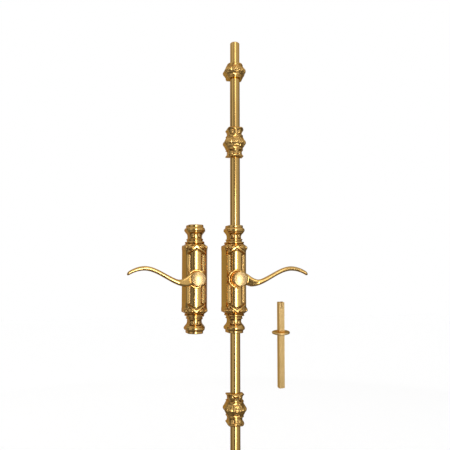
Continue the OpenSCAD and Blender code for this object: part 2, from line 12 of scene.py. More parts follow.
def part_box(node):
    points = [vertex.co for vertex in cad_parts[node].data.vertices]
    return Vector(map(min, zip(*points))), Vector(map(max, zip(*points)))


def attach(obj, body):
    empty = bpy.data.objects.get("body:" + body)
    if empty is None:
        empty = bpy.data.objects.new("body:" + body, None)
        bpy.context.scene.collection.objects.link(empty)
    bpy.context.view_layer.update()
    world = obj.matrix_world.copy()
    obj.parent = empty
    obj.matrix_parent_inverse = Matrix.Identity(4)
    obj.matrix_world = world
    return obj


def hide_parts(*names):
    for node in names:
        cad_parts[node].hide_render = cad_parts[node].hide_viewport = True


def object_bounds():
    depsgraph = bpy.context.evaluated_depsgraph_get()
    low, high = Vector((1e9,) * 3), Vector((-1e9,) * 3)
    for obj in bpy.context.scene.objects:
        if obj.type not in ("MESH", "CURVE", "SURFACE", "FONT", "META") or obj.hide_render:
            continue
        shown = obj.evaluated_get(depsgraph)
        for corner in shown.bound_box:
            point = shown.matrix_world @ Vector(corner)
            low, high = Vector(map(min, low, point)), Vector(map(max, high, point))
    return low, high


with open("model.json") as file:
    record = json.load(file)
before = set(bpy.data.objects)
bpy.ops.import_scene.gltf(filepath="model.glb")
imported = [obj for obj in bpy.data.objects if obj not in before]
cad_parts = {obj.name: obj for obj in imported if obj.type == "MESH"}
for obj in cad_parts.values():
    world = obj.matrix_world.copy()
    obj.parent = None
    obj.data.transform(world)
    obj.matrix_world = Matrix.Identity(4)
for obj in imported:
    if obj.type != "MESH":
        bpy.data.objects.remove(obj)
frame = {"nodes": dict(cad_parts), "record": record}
cad_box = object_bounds()
MM = 0.001

# The studio: a camera level with the lever and a little to its left, a white room, a pale floor under
# the rods, a tall soft lamp in front, and a tent of pale cloth and grey cards that only the polished
# brass can see.
camera_turn, camera_rise, camera_reach = math.radians(-9.0), math.radians(-5.0), 0.880
camera_lens, camera_film, camera_near = 43.68, 36.0, 0.01
camera_aim = Vector((-16.4, -12.0, 86.14)) * MM
camera_back = Vector((
    math.sin(camera_turn) * math.cos(camera_rise),
    -math.cos(camera_turn) * math.cos(camera_rise),
    math.sin(camera_rise)))
camera = bpy.data.objects.new("camera", bpy.data.cameras.new("camera"))
camera.data.sensor_width = camera_film
camera.data.lens = camera_lens
camera.data.clip_start = camera_near
camera.location = camera_aim + camera_back * camera_reach
camera.rotation_euler = camera_back.to_track_quat("Z", "Y").to_euler()
bpy.context.scene.collection.objects.link(camera)
bpy.context.scene.camera = camera
bpy.context.scene.view_settings.view_transform = "Standard"

white = (1, 1, 1, 1)
room = bpy.data.worlds.new("white_room")
room.use_nodes = True
room.node_tree.nodes["Background"].inputs["Color"].default_value = white
bpy.context.scene.world = room


def plain_mesh(name, points, faces):
    # A mesh object from points in millimetres.
    mesh = bpy.data.meshes.new(name)
    mesh.from_pydata((np.asarray(points, float) * MM).tolist(), [], faces)
    piece = bpy.data.objects.new(name, mesh)
    bpy.context.scene.collection.objects.link(piece)
    return piece


def grid_faces(rows, columns, closed=False):
    # Four-sided faces over rows of points, joined into rings if closed.
    last = columns if closed else columns - 1
    return [(i * columns + j, i * columns + (j + 1) % columns,
             (i + 1) * columns + (j + 1) % columns, (i + 1) * columns + j)
            for i in range(rows - 1) for j in range(last)]


def ease(t):
    # A smooth step from 0 to 1.
    t = np.clip(t, 0, 1)
    return t * t * (3 - 2 * t)


floor_half, floor_gap, floor_rough = 4000.0, 0.5, 0.9
floor_z = cad_box[0][2] / MM - floor_gap
floor = plain_mesh("floor", [
    (-floor_half, -floor_half, floor_z), (floor_half, -floor_half, floor_z),
    (floor_half, floor_half, floor_z), (-floor_half, floor_half, floor_z)], [(0, 1, 2, 3)])
paper = bpy.data.materials.new("white_paper")
paper.use_nodes = True
paper.node_tree.nodes["Principled BSDF"].inputs["Base Color"].default_value = white
paper.node_tree.nodes["Principled BSDF"].inputs["Roughness"].default_value = floor_rough
floor.data.materials.append(paper)
floor.visible_glossy = False

# Tones of the tent by bearing from the front, its bright strip, and how the strip fades with height.
tent_tones = [(-180, 0.5), (-128, 0.5), (-115, 0.2), (-88, 0.2), (-76, 0.65), (-48, 0.65), (-38, 0.16),
              (-16, 0.16), (-8, 0.7), (20, 0.8), (42, 0.7), (52, 0.5), (82, 0.5), (98, 0.18), (150, 0.18),
              (180, 0.5)]
strip_tones = [(-6.5, 0.0), (-4.5, 11.5), (5, 11.5), (8, 0.0)]
strip_fade = [(-60, 0.0), (-36, 0.1), (-22, 1.0), (8, 1.0), (15, 0.05), (24, 0.05), (34, 0.3), (50, 0.3),
              (70, 0.0)]
tent_r, tent_steps, tent_rows, tent_limit = 1300.0, 180, 45, 88
tent_overhead, overhead_from, overhead_blend = 0.72, 26, 24
tent_underfoot, underfoot_from, underfoot_blend = 0.19, 18, 28
tent_cream = (1.0, 0.98, 0.95, 1)
tent_bearings = np.linspace(-180, 180, tent_steps + 1)
tent_rises = np.linspace(-tent_limit, tent_limit, tent_rows)
around, rise = np.meshgrid(np.radians(tent_bearings), np.radians(tent_rises))
tent_points = tent_r * np.stack([
    np.sin(around) * np.cos(rise), -np.cos(around) * np.cos(rise), np.sin(rise)], -1)
overhead = ease((tent_rises - overhead_from) / overhead_blend)[:, None]
underfoot = ease((-tent_rises - underfoot_from) / underfoot_blend)[:, None]
tent_glow = np.broadcast_to(np.interp(tent_bearings, *zip(*tent_tones)), around.shape)
tent_glow = tent_glow + (tent_overhead - tent_glow) * overhead
tent_glow = tent_glow + (tent_underfoot - tent_glow) * underfoot
tent_glow = tent_glow + np.outer(np.interp(tent_rises, *zip(*strip_fade)),
                                 np.interp(tent_bearings, *zip(*strip_tones)))
tent = plain_mesh("tent", tent_points.reshape(-1, 3), grid_faces(*around.shape))
tent.data.attributes.new("glow", "FLOAT", "POINT").data.foreach_set("value", tent_glow.ravel())
cloth = bpy.data.materials.new("tent_cloth")
cloth.use_nodes = True
cloth.node_tree.nodes.clear()
cloth_glow = cloth.node_tree.nodes.new("ShaderNodeEmission")
cloth_glow.inputs["Color"].default_value = tent_cream
cloth_tone = cloth.node_tree.nodes.new("ShaderNodeAttribute")
cloth_tone.attribute_name = "glow"
cloth_out = cloth.node_tree.nodes.new("ShaderNodeOutputMaterial")
cloth.node_tree.links.new(cloth_tone.outputs["Fac"], cloth_glow.inputs["Strength"])
cloth.node_tree.links.new(cloth_glow.outputs["Emission"], cloth_out.inputs["Surface"])
tent.data.materials.append(cloth)
tent.visible_camera = tent.visible_diffuse = tent.visible_shadow = False

lamp_turn, lamp_reach, lamp_height = math.radians(7.0), 1.25, 0.05
lamp_wide, lamp_tall, lamp_power = 0.9, 1.5, 1.5
lamp = bpy.data.objects.new("soft_lamp", bpy.data.lights.new("soft_lamp", "AREA"))
lamp.data.shape = "RECTANGLE"
lamp.data.size, lamp.data.size_y = lamp_wide, lamp_tall
lamp.data.energy = lamp_power
lamp_back = Vector((math.sin(lamp_turn), -math.cos(lamp_turn), 0))
lamp.location = lamp_back * lamp_reach + Vector((0, 0, lamp_height))
lamp.rotation_euler = lamp_back.to_track_quat("Z", "Y").to_euler()
bpy.context.scene.collection.objects.link(lamp)

# The casing of the main bolt is a brass casting, polished and lacquered: a reeded front between two
# collars of leaves with pearls on its shoulders, flat sides, and a moulded neck at each end round
# the rod. It is screwed on from behind, through the door, so no screw shows in front.


def reach(node):
    # The lowest and highest corners of a piece, in millimetres.
    low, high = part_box(node)
    return np.array(low) / MM, np.array(high) / MM


rod_low, rod_high = reach("upper_rod")
rod_r, rod_axis = (rod_high[0] - rod_low[0]) / 2, -(rod_low[1] + rod_high[1]) / 2
rod_gap = 0.1
bore_r = rod_r + rod_gap
casing_low, casing_high = reach("casing_cover")
shoulder_r, casing_half, boss_front = casing_high[0], casing_high[2], -casing_low[1]
plate_low, plate_high = reach("base_plate")
plate_gap, plate_lap = 0.1, 11.5
plate_thick, plate_half = -plate_low[1], plate_high[2] + plate_gap
cavity_r, cavity_half = plate_high[0] + plate_gap, plate_half - plate_lap
shoulder_z, shoulder_round = cavity_half + 8.0, 5.6
body_r, neck_r = shoulder_r - 2.6, bore_r + 2.2
bead_z, bead_r, bead_round = shoulder_z + 7.9, neck_r + 4.9, 1.6
ring_z, ring_r, ring_round = bead_z + 5.0, neck_r + 2.3, 1.1
cap_z, cap_r, cap_round, cap_cove = ring_z + 15.2, neck_r + 5.9, 3.8, 6.5
cove_z = cap_z - cap_round - cap_cove
end_r, end_round = neck_r + 3.0, 1.2
front_turn = 62.0
brass_edge = (0.8, 0.46, 0.12)


def metal(name, bright, dull, deep, rough, grain, stretch=(1, 1, 1), lacquer=0.0, edge=brass_edge):
    # Clouded metal with fine grain. Places marked with painted shade take the deep colour and are less
    # polished, and faces marked satin are brushed and painted paler as a sheen.
    cloud_scale, cloud_detail, grain_detail = 55.0, 4.0, 3.0
    grain_strength, grain_height = 0.12, 0.0002
    polish_low, polish_high, lacquer_rough = 0.75, 1.25, 0.12
    hollow_rough, satin_rough, painted_sheen_white, painted_sheen_tint = 0.14, 0.22, 0.07, 0.7
    paint = bpy.data.materials.new(name)
    paint.use_nodes = True
    nodes, link = paint.node_tree.nodes, paint.node_tree.links.new
    shader = nodes["Principled BSDF"]
    shader.inputs["Metallic"].default_value = 1.0
    shader.inputs["Specular Tint"].default_value = (*edge, 1)
    shader.inputs["Coat Weight"].default_value = lacquer
    shader.inputs["Coat Roughness"].default_value = lacquer_rough

    def noise(scale, detail, vector):
        made = nodes.new("ShaderNodeTexNoise")
        made.inputs["Scale"].default_value = scale
        made.inputs["Detail"].default_value = detail
        link(vector, made.inputs["Vector"])
        return made.outputs["Fac"]

    def mark(attribute):
        made = nodes.new("ShaderNodeAttribute")
        made.attribute_name = attribute
        return made.outputs["Fac"]

    def blend(amount, first, second):
        made = nodes.new("ShaderNodeMix")
        made.data_type = "RGBA"
        made.inputs["B"].default_value = (*second, 1)
        link(amount, made.inputs["Factor"])
        if isinstance(first, tuple):
            made.inputs["A"].default_value = (*first, 1)
        else:
            link(first, made.inputs["A"])
        return made.outputs["Result"]

    def add(amount, share, base):
        made = nodes.new("ShaderNodeMath")
        made.operation = "MULTIPLY_ADD"
        made.inputs[1].default_value = share
        link(amount, made.inputs[0])
        link(base, made.inputs[2])
        return made.outputs["Value"]

    place = nodes.new("ShaderNodeTexCoord").outputs["Object"]
    run = nodes.new("ShaderNodeMapping")
    run.inputs["Scale"].default_value = stretch
    link(place, run.inputs["Vector"])
    cloud = noise(cloud_scale, cloud_detail, place)
    fine = noise(grain, grain_detail, run.outputs["Vector"])
    hollow, satin_and_sheen = mark("hollow"), mark("satin_and_sheen")
    # Painted sheen: satin faces take a paler colour as well as a rougher finish
    painted_sheen_tone = tuple(painted_sheen_white + painted_sheen_tint * v for v in bright)
    # Painted shade: marked places in the recesses take the deep colour
    tone = blend(satin_and_sheen, blend(hollow, blend(cloud, bright, dull), deep), painted_sheen_tone)
    link(tone, shader.inputs["Base Color"])
    polish = nodes.new("ShaderNodeMapRange")
    polish.inputs["To Min"].default_value = rough * polish_low
    polish.inputs["To Max"].default_value = rough * polish_high
    link(fine, polish.inputs["Value"])
    worn = add(hollow, hollow_rough, polish.outputs["Result"])
    link(add(satin_and_sheen, satin_rough, worn), shader.inputs["Roughness"])
    relief = nodes.new("ShaderNodeBump")
    relief.inputs["Strength"].default_value = grain_strength
    relief.inputs["Distance"].default_value = grain_height
    link(fine, relief.inputs["Height"])
    link(relief.outputs["Normal"], shader.inputs["Normal"])
    return paint


# The third colour is the painted shade in the casting's hollows
cast_brass = metal("cast_brass", (0.75, 0.48, 0.16), (0.64, 0.39, 0.11), (0.15, 0.09, 0.035),
                   rough=0.16, grain=420.0, lacquer=0.3)


def arc(x, z, r, start, end, steps=24):
    # Points on a circle beside the axis, between two angles in degrees.
    return [(x + r * math.cos(a), z + r * math.sin(a))
            for a in np.radians(np.linspace(start, end, steps))]


def even_outline(points, step, soften):
    # The same outline in even steps, with its corners rounded as a casting's are.
    points = np.array(points, float)
    run = np.concatenate([[0], np.cumsum(np.hypot(*np.diff(points, axis=0).T))])
    at = np.linspace(0, run[-1], int(run[-1] / step) + 1)
    even = np.stack([np.interp(at, run, points[:, i]) for i in (0, 1)], 1)
    far = int(3 * soften / step) + 1
    weight = np.exp(-0.5 * (np.arange(-far, far + 1) * step / soften) ** 2)
    weight /= weight.sum()
    first, last = even[:1], even[-1:]
    padded = np.concatenate([2 * first - even[far:0:-1], even, 2 * last - even[-2:-far - 2:-1]])
    return np.stack([np.convolve(padded[:, i], weight, "valid") for i in (0, 1)], 1)


def both_halves(half):
    # A whole outline from its upper half.
    return np.concatenate([half[::-1] * (1, -1), half[1:]])


def bump(distance, width):
    # A soft swelling, 1 in the middle and 0 from the given width on.
    return np.clip(1 - (distance / width) ** 2, 0, 1) ** 2


def mark_points(piece, name, values):
    # Marks each point of a mesh for the finish to read.
    piece.data.attributes.new(name, "FLOAT", "POINT").data.foreach_set(
        "value", np.clip(values, 0, 1).astype(np.float32).ravel())


def close_up(piece):
    # Joins points that meet and turns the faces outward.
    meeting, flat = 1e-6, 1e-7
    work = bmesh.new()
    work.from_mesh(piece.data)
    bmesh.ops.remove_doubles(work, verts=work.verts, dist=meeting)
    bmesh.ops.dissolve_degenerate(work, edges=work.edges, dist=flat)
    bmesh.ops.recalc_face_normals(work, faces=work.faces)
    work.to_mesh(piece.data)
    work.free()


def moulding(name, outline, relief, draft, turn, columns=120, flank_steps=8):
    # A casting with a round front, up to the given bearing, and straight sides down to the door, from
    # its outline beside the axis. relief gives the carving at a bearing and height, how far it is
    # lifted along the axis, and how much painted shade darkens each place; draft gives how far the sides
    # slope out.
    radius, height = outline[:, :1], outline[:, 1:]
    bearing = np.linspace(-turn, turn, columns + 1)[None, :]
    carve, lift, hollow = relief(bearing, height, radius)
    x = (radius + carve) * np.sin(np.radians(bearing))
    y = -rod_axis - (radius + carve) * np.cos(np.radians(bearing))
    z = height + lift + 0 * x
    side = np.linspace(0, 1, flank_steps, endpoint=False)
    door_x = radius + draft(radius)
    left_x = -door_x + (x[:, :1] + door_x) * side
    left_y = y[:, :1] * side
    edge_z, edge_hollow = np.repeat(z[:, :1], flank_steps, 1), hollow[:, :1] * side
    x = np.concatenate([left_x, x, -left_x[:, ::-1]], 1)
    y = np.concatenate([left_y, y, left_y[:, ::-1]], 1)
    z = np.concatenate([edge_z, z, edge_z], 1)
    hollow = np.concatenate([edge_hollow, hollow, edge_hollow[:, ::-1]], 1)
    ends = [0.0, 0.35, 0.7]
    x = np.concatenate([np.outer(ends, x[0]), x, np.outer(ends[::-1], x[-1])])
    y, z, hollow = (np.concatenate([np.repeat(v[:1], len(ends), 0), v, np.repeat(v[-1:], len(ends), 0)])
                    for v in (y, z, hollow))
    piece = plain_mesh(name, np.stack([x, y, z], -1).reshape(-1, 3), grid_faces(*x.shape, closed=True))
    # The painted shade is marked on the points for the finish to darken
    mark_points(piece, "hollow", hollow)
    close_up(piece)
    return piece


def ring_of(r, steps, x=0.0, y=0.0):
    # Points round a circle.
    return [(x + r * math.cos(a), y + r * math.sin(a))
            for a in np.linspace(0, 2 * math.pi, steps, endpoint=False)]


def column(name, section, low, high):
    # A straight bar along Z with the given section, as a tool to cut with.
    n = len(section)
    points = [(x, y, z) for z in (low, high) for x, y in section]
    caps = [tuple(range(n)), tuple(range(n, 2 * n))]
    piece = plain_mesh(name, points, grid_faces(2, n, closed=True) + caps)
    close_up(piece)
    return piece


def turned(name, outline, steps=72):
    # A piece turned on the lathe about the Y axis, from its outline of radius and distance forward.
    points = [(x, -forward, z) for r, forward in outline for x, z in ring_of(r, steps)]
    piece = plain_mesh(name, points, grid_faces(len(outline), steps, closed=True))
    close_up(piece)
    return piece


def drill(name, x, z, r, deep):
    # A hole from the door's side, as a tool to cut with.
    start, steps = -2.0, 40
    piece = turned(name, [(0, start), (r, start), (r, deep), (0, deep)], steps)
    piece.data.transform(Matrix.Translation(Vector((x, 0, z)) * MM))
    return piece


def shaped(piece):
    # The mesh of a piece with its modifiers applied.
    bpy.context.view_layer.update()
    made = bpy.data.meshes.new_from_object(piece.evaluated_get(bpy.context.evaluated_depsgraph_get()))
    piece.modifiers.clear()
    piece.data = made


def machine(piece, tools, operation="DIFFERENCE"):
    # Cuts the tools out of a piece, or joins them to it, and removes them.
    shelf = bpy.data.collections.new("tools")
    for tool in tools:
        shelf.objects.link(tool)
    step = piece.modifiers.new("machine", "BOOLEAN")
    step.operation, step.solver = operation, "EXACT"
    step.operand_type, step.collection = "COLLECTION", shelf
    shaped(piece)
    for tool in tools:
        bpy.data.objects.remove(tool)
    bpy.data.collections.remove(shelf)


def finish_piece(piece, body, paint, node, sharp=38.0):
    # Polishes a casting and puts it in the place of its plain solid.
    piece.data.materials.clear()
    piece.data.materials.append(paint)
    piece.data.shade_smooth()
    piece.data.set_sharp_from_angle(angle=math.radians(sharp))
    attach(piece, body)
    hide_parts(node)


body_end = shoulder_z - 4.7
bead_foot_r, bead_foot_z = bead_r - 0.6, bead_z - 2.0
ring_seat_r, ring_foot_z, ring_seat_z = ring_r - ring_round, bead_z + 1.7, ring_z - 1.2
neck_foot_z = ring_z + 1.2
end_foot_z, end_top_z = cap_z + 3.8, casing_half - 1.3
casing_half_outline = (
    [(body_r, 0), (body_r, body_end)]
    + arc(shoulder_r - shoulder_round, shoulder_z, shoulder_round, -57, 14)
    + [(bead_foot_r, bead_foot_z)]
    + arc(bead_r - bead_round, bead_z, bead_round, -88, 88)
    + [(ring_seat_r, ring_foot_z), (ring_seat_r, ring_seat_z)]
    + arc(ring_seat_r, ring_z, ring_round, -88, 88)
    + [(neck_r, neck_foot_z), (neck_r, cove_z)]
    + arc(neck_r + cap_cove, cove_z, cap_cove, 180, 113)
    + arc(cap_r - cap_round, cap_z, cap_round, -60, 76)
    + [(end_r, end_foot_z), (end_r, end_top_z)]
    + arc(end_r - end_round, casing_half - end_round, end_round, 10, 90))
outline_step, casing_soft = 0.42, 0.32
casing_outline = both_halves(even_outline(casing_half_outline, outline_step, casing_soft))


def sunk(radius):
    # How far each place on an outline lies below the mouldings beside it, used as painted shade there.
    far, full_depth, darkest = 12, 2.2, 0.85
    beside = np.convolve(np.pad(radius[:, 0], far, "edge"), np.ones(2 * far + 1) / (2 * far + 1), "valid")
    return np.clip((beside[:, None] - radius) / full_depth, 0, darkest)


def casing_draft(radius):
    # The sides of the body slope out to the width of the shoulders at the door.
    cove_r, collar_r = 12.6, 17.0
    at = [neck_r, ring_r, cove_r, collar_r, body_r, shoulder_r]
    return np.interp(radius, at, [1.6, 1.2, 0.9, 0.9, 2.2, 0.0])


def medallion(across, along, size):
    # A round leaf in a sunk ring, with a raised heart.
    heart_rise, heart_size, ring_deep, ring_at, ring_wide = 0.5, 0.7, 1.05, 0.98, 0.34
    off = np.hypot(across, along) / size
    return heart_rise * bump(off, heart_size) - ring_deep * bump(off - ring_at, ring_wide)


band_half, band_fall, band_top, hollow_deep = 14.0, 11.0, 2.2, 0.9


def above_band(along, up):
    # How far a place lies above the pointed band, in widths that narrow towards the band's ends.
    point_width, end_width = 0.9, 0.4
    lean = math.cos(math.atan2(band_fall, band_half))
    off = (up - band_top + band_fall * np.minimum(along / band_half, 1)) * lean
    return off / np.interp(along, [0, band_half], [point_width, end_width])


def pointed_band(turn, along, up, off, radius):
    # The band is a thin ridge that faces in towards the panel, over a hollow, with a groove above it.
    point_rise, end_rise, ridge_foot, ridge_slope = 1.7, 0.8, 4.6, 2.0
    end_early, end_blend, bead_clear = 0.6, 2.2, 2.5
    hollow_run, hollow_cut = [-6.6, -4.6, -2.6, 0], [0, -hollow_deep, -0.45, 0]
    flat_share, flat_from, flat_blend = 0.3, 3.6, 1.4
    on_band = 1 - ease((along - band_half + end_early) / end_blend)
    on_shoulder = np.where(up < bead_z - shoulder_z - bead_clear, on_band, 0)
    ridge = np.interp(along, [0, band_half], [point_rise, end_rise])
    ridge = ridge * np.clip((off + ridge_foot) / ridge_slope, 0, 1)
    cut = np.interp(off, hollow_run, hollow_cut)
    flat = flat_share * body_r * (1 / np.cos(np.radians(turn)) - 1) * ease((off + flat_from) / flat_blend)
    band = (body_r + ridge + cut + flat - radius) * (1 - ease(off)) * on_shoulder
    low_at, low_wide, high_at, high_wide, high_deep = 4.4, 2.1, 1.5, 0.9, 0.7
    # The groove is cut above the band; below the band it only gives painted shade
    groove = (-hollow_deep * bump(off + low_at, low_wide) * on_band
              - high_deep * bump(off - high_at, high_wide) * on_band)
    return band, groove


def leaf_collar(along, up, off):
    # Leaves above the band, each a lobe in a sunk edge, and a bud over the band's point.
    leaf_at, leaf_wide, leaf_tall, leaf_drop, leaf_slant = 8.4, 4.2, 3.9, 0.5, 0.25
    leaf_rise, edge_deep, edge_at, edge_wide, clear, clear_blend = 0.6, 0.85, 1.12, 0.26, 1.6, 1.0
    leaf_off = np.hypot((along - leaf_at) / leaf_wide,
                        (up + leaf_drop + leaf_slant * (along - leaf_at)) / leaf_tall)
    leaf = leaf_rise * bump(leaf_off, 1) - edge_deep * bump(leaf_off - edge_at, edge_wide)
    bud_rise, bud_wide, bud_tall, bud_at = 0.4, 1.9, 1.5, 3.5
    bud = bud_rise * bump(np.hypot(along / bud_wide, (up - bud_at) / bud_tall), 1)
    return leaf * ease((off - clear) / clear_blend), bud


def pearl_in_ring(turn, up):
    # A pearl on each shoulder, in a sunk ring.
    pearl_turn, pearl_r, pearl_rise, ring_at, ring_wide = 49, 2.1, 1.6, 3.0, 1.1
    off = np.hypot(np.radians(turn - pearl_turn) * shoulder_r, up)
    return pearl_rise * np.sqrt(np.clip(1 - (off / pearl_r) ** 2, 0, 1)) - bump(off - ring_at, ring_wide)


def casing_relief(bearing, height, radius):
    turn, level = np.abs(bearing), np.abs(height)
    up, along = level - shoulder_z, np.radians(turn) * body_r
    off = above_band(along, up)
    band, groove = pointed_band(turn, along, up, off, radius)
    leaf, bud = leaf_collar(along, up, off)
    pearl = pearl_in_ring(turn, up)
    # Flutes that slope down beside the panel, and reeds outside them that face forward
    below_band, body_blend = 6.4, 1.6
    reed_turns, reed_rises = [22, 34.5, 38, 50, 55, front_turn], [0, -1.9, -0.5, 0.35, 0.35, -0.35]
    body = ease((-off - below_band) / body_blend) * np.interp(turn, reed_turns, reed_rises)
    # Round leaves on the necks, and a dimple at each corner of the caps
    leaf_turn, leaf_up, leaf_size = 37, 5.4, 3.9
    neck = medallion(np.radians(turn - leaf_turn) * neck_r, level - ring_z - leaf_up, leaf_size)
    dimple_turn, dimple_deep, dimple_r = 47, 0.8, 1.6
    dimple_off = np.hypot(np.radians(turn - dimple_turn) * cap_r, level - cap_z)
    dimple = -dimple_deep * bump(dimple_off, dimple_r)
    # Below the band the groove only adds painted shade, because the band's own hollow is cut there
    full_depth, darkest = 1.4, 0.85
    upper_groove = np.where(off > 0, groove, 0)
    carve = band + upper_groove + body + leaf + bud + pearl + neck + dimple
    # Carved hollows and the recesses below the mouldings get painted shade, a darker colour
    shade = np.minimum(groove + body + leaf + pearl + neck + dimple, 0)
    return carve, 0, np.clip(-shade / full_depth, 0, 1) * darkest + sunk(radius)


casing = moulding("casing", casing_outline, casing_relief, casing_draft, front_turn)
bush_r = reach("hub_bush")[1][0]
boss_r, boss_step, boss_round, boss_drop, boss_steps = bush_r + 4.75, 0.4, 1.5, 3.0, 96
dish_r, dish_deep, lip_r, lip_deep = bush_r + 0.9, 2.0, bush_r + 0.4, 0.8
boss_rim = (
    [(0, rod_axis), (boss_r, rod_axis), (boss_r, boss_front - boss_drop),
     (boss_r - boss_step, boss_front - boss_drop + boss_step)]
    + arc(boss_r - boss_round - boss_step, boss_front - boss_round, boss_round, -20, 190, 16)
    + [(dish_r, boss_front - dish_deep), (lip_r, boss_front - lip_deep), (0, boss_front - lip_deep)])
machine(casing, [turned("boss", boss_rim, boss_steps)], "UNION")
behind, tunnel_steps = 3.0, 48
tunnel = [(-cavity_r, behind)] + [
    (-cavity_r * math.cos(a), -rod_axis - cavity_r * math.sin(a))
    for a in np.linspace(0, math.pi, tunnel_steps)] + [(cavity_r, behind)]
seat = [(-cavity_r, behind), (-cavity_r, -plate_thick), (cavity_r, -plate_thick), (cavity_r, behind)]
bush_seat = [(0, rod_axis), (bush_r, rod_axis), (bush_r, boss_front + behind), (0, boss_front + behind)]
casing_tools = [column("cavity", tunnel, -cavity_half, cavity_half),
                column("seat", seat, -plate_half, plate_half), turned("bush_seat", bush_seat)]
mounts = {mount["name"]: mount["dims"] for mount in frame["record"]["mounts"]}
casing_bolts = mounts["casing_bolts"]
bolt_r, bolt_deep = casing_bolts["hole_r_mm"], 9.0
bolt_x, bolt_z = casing_bolts["spacing_x_mm"] / 2, casing_bolts["spacing_y_mm"] / 2
screw_low, screw_high = reach("base_plate_screws")
screw_r, screw_head_r = 1.5, 3.1
for side in (-1, 1):
    for end in (-1, 1):
        casing_tools.append(drill("bolt_hole", side * bolt_x, end * bolt_z, bolt_r, bolt_deep))
        casing_tools.append(drill("screw_hole", side * (screw_high[0] - screw_head_r),
                                  end * (screw_high[2] - screw_head_r), screw_r, -screw_low[1]))
machine(casing, casing_tools)

# The outside plate is the same casting without rods, for the other side of the door. It lies
# loose to the left of the bolt, with its own lever. The rods' bores are then cut in the main one.
outside_x = sum(corner[0] for corner in reach("outside_cover")) / 2


def again(name, piece, *moves):
    # A second casting from the same pattern.
    copy = bpy.data.objects.new(name, piece.data.copy())
    bpy.context.scene.collection.objects.link(copy)
    for move in moves:
        copy.data.transform(move)
    return copy


def rod_bore(half):
    # The rod's round way through a casting, as a tool to cut with.
    return column("rod_bore", ring_of(bore_r, 64, y=-rod_axis), -half, half)


outside_casing = again("outside_casing", casing, Matrix.Translation((outside_x * MM, 0, 0)))
finish_piece(outside_casing, "fixed", cast_brass, "outside_cover")
machine(casing, [rod_bore(casing_half + behind)])
finish_piece(casing, "fixed", cast_brass, "casing_cover")

# Turned brass inside the casings: the bushes that the levers run in, the plates that close the
# backs, and the hollow sleeves that carry the levers. They keep a fine machined grain.
turned_brass = metal("turned_brass", (0.62, 0.43, 0.17), (0.52, 0.34, 0.12), (0.2, 0.095, 0.016),
                     rough=0.24, grain=700.0)


def keep_shape(paint, *nodes):
    # These pieces keep their CAD shape and take a finish.
    for node in nodes:
        frame["nodes"][node].data.materials.clear()
        frame["nodes"][node].data.materials.append(paint)


keep_shape(turned_brass, "hub_bush", "base_plate", "drive_sleeve",
           "outside_hub_bush", "outside_base_plate", "outside_drive_sleeve")

# Bright zinc-plated steel: the pinion and racks that draw the rods, and the screws, studs, key,
# washers and rings that hold the works together.
zinc_steel = metal("zinc_steel", (0.62, 0.62, 0.63), (0.5, 0.5, 0.52), (0.2, 0.2, 0.2),
                   rough=0.3, grain=900.0, edge=(0.7, 0.7, 0.7))
keep_shape(zinc_steel, "pinion", "pinion_key", "upper_rack", "lower_rack", "upper_rod_stud", "lower_rod_stud",
           "base_plate_screws", "thrust_washer", "retaining_rings", "lever_grub_screw",
           "outside_plate_screws", "outside_thrust_washer", "outside_retaining_rings", "outside_grub_screw")

# The rods are round brass bar, drawn and polished along their length. Each is held on its rack by a
# stud inside the casing, slides in two guides, and has a turned nose that goes into the strike.
rod_brass = metal("rod_brass", (0.75, 0.48, 0.16), (0.65, 0.40, 0.11), (0.15, 0.09, 0.035),
                  rough=0.14, grain=900.0, stretch=(1, 1, 0.01), lacquer=0.4)
keep_shape(rod_brass, "upper_rod", "lower_rod")

# Four cast guides hold the rods to the door: an eight-sided knop with a flower on each face,
# between thin rings. The two near the casing have flared ends with round leaves and lobed rims.
flared_low, flared_high = reach("upper_guide")
short_low, short_high = reach("top_guide")
knop_r, flared_half = flared_high[0], (flared_high[2] - flared_low[2]) / 2
short_half = (short_high[2] - short_low[2]) / 2
guide_neck_r = bore_r + 3.15
guide_ring_r, guide_ring_round = guide_neck_r + 1.3, 0.9
knop_half, short_knop, knop_round = 10.6, 8.8, 5.0
flare_at, flare_arc, rim_r, rim_round, rim_drop = 15.3, 12.6, guide_neck_r + 2.55, 1.2, 1.6
flare_foot = knop_half + 1.9
short_lip, short_round, short_lip_drop, short_rim_drop = guide_ring_r - 0.4, 1.0, 1.7, 1.2


def knop_with_ring(half):
    # Outline from the knop's edge to the top of the thin ring.
    knop_edge = arc(knop_r - knop_round, 0, knop_round, 0, 54)
    ring = arc(guide_ring_r, half + guide_ring_round, guide_ring_round, -88, 88)
    return knop_edge + [(guide_ring_r, half)] + ring


flared_outline = (
    knop_with_ring(knop_half)
    + [(guide_neck_r, flare_foot), (guide_neck_r, flare_at)]
    + arc(guide_neck_r + flare_arc, flare_at, flare_arc, 180, 143)
    + [(rim_r, flared_half - rim_drop)]
    + arc(rim_r - rim_round, flared_half - rim_round, rim_round, 0, 90))
short_outline = (
    knop_with_ring(short_knop)
    + [(short_lip, short_half - short_lip_drop), (guide_ring_r, short_half - short_rim_drop)]
    + arc(guide_ring_r - short_round, short_half - short_round, short_round, 0, 90))


